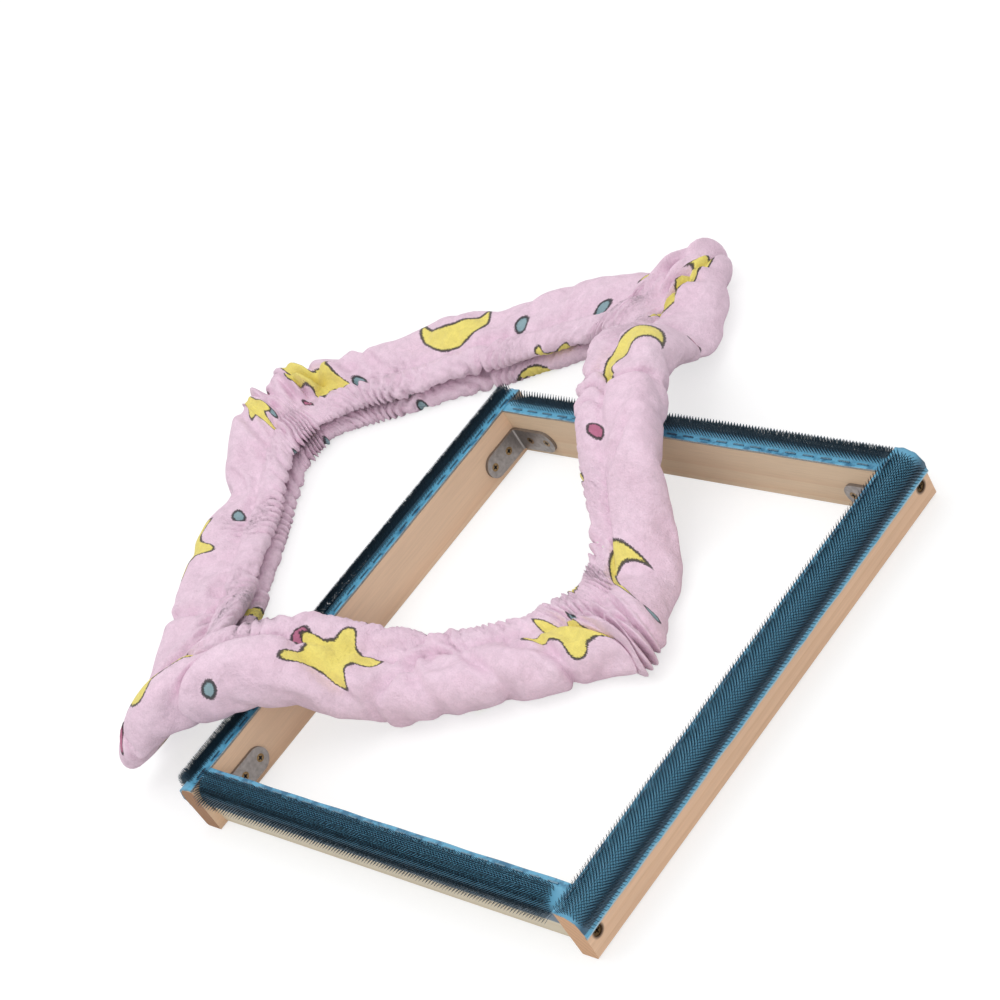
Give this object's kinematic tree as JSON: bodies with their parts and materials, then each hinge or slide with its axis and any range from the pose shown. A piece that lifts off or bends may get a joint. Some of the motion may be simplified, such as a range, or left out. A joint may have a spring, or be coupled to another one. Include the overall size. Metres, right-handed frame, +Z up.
{
  "type": "punch needle frame",
  "caption": "Square wooden frame with toothed gripper strips round its top that hold cloth taut for punch needle work, with a gathered fleece cover for the teeth.",
  "frame": {"origin": "middle of the frame's work opening, on the table plane under the rails", "axes": "+Z up out of the table towards the teeth, +Y along the side rails to the back, +X to the right rail"},
  "size_m": [0.5192, 0.4381, 0.0699],
  "materials": {
    "pine_rail": "bare sanded pine",
    "yellow_zinc_screw": "yellow zinc plate",
    "zinc_bracket": "dull zinc plate",
    "blue_foundation": "satin rubber face on cloth",
    "card_wire": "dark tempered wire",
    "staple_wire": "bright galvanised wire",
    "pink_fleece": "plush fleece pile",
    "white_elastic": "woven elastic"
  },
  "bodies": {
    "frame": {"left_rail": "pine_rail", "right_rail": "pine_rail", "front_rail": "pine_rail", "back_rail": "pine_rail", "corner_screws": "yellow_zinc_screw", "bracket_front_left": "zinc_bracket", "bracket_front_right": "zinc_bracket", "bracket_back_right": "zinc_bracket", "bracket_back_left": "zinc_bracket", "screws_front_left": "yellow_zinc_screw", "screws_front_right": "yellow_zinc_screw", "screws_back_right": "yellow_zinc_screw", "screws_back_left": "yellow_zinc_screw", "left_foundation": "blue_foundation", "right_foundation": "blue_foundation", "front_foundation": "blue_foundation", "back_foundation": "blue_foundation", "left_teeth": "card_wire", "right_teeth": "card_wire", "front_teeth": "card_wire", "back_teeth": "card_wire", "left_staples": "staple_wire", "right_staples": "staple_wire", "front_staples": "staple_wire", "back_staples": "staple_wire"},
    "cover": {"cover_sleeve": "pink_fleece", "cover_front_casing": "pink_fleece", "cover_back_casing": "pink_fleece", "cover_front_elastic": "white_elastic", "cover_back_elastic": "white_elastic"}
  },
  "joints": [
    {"name": "cover_lift", "type": "slide", "parent": "frame", "child": "cover", "axis": [0, 0, 1], "range_m": [0, 0.12]}
  ]
}
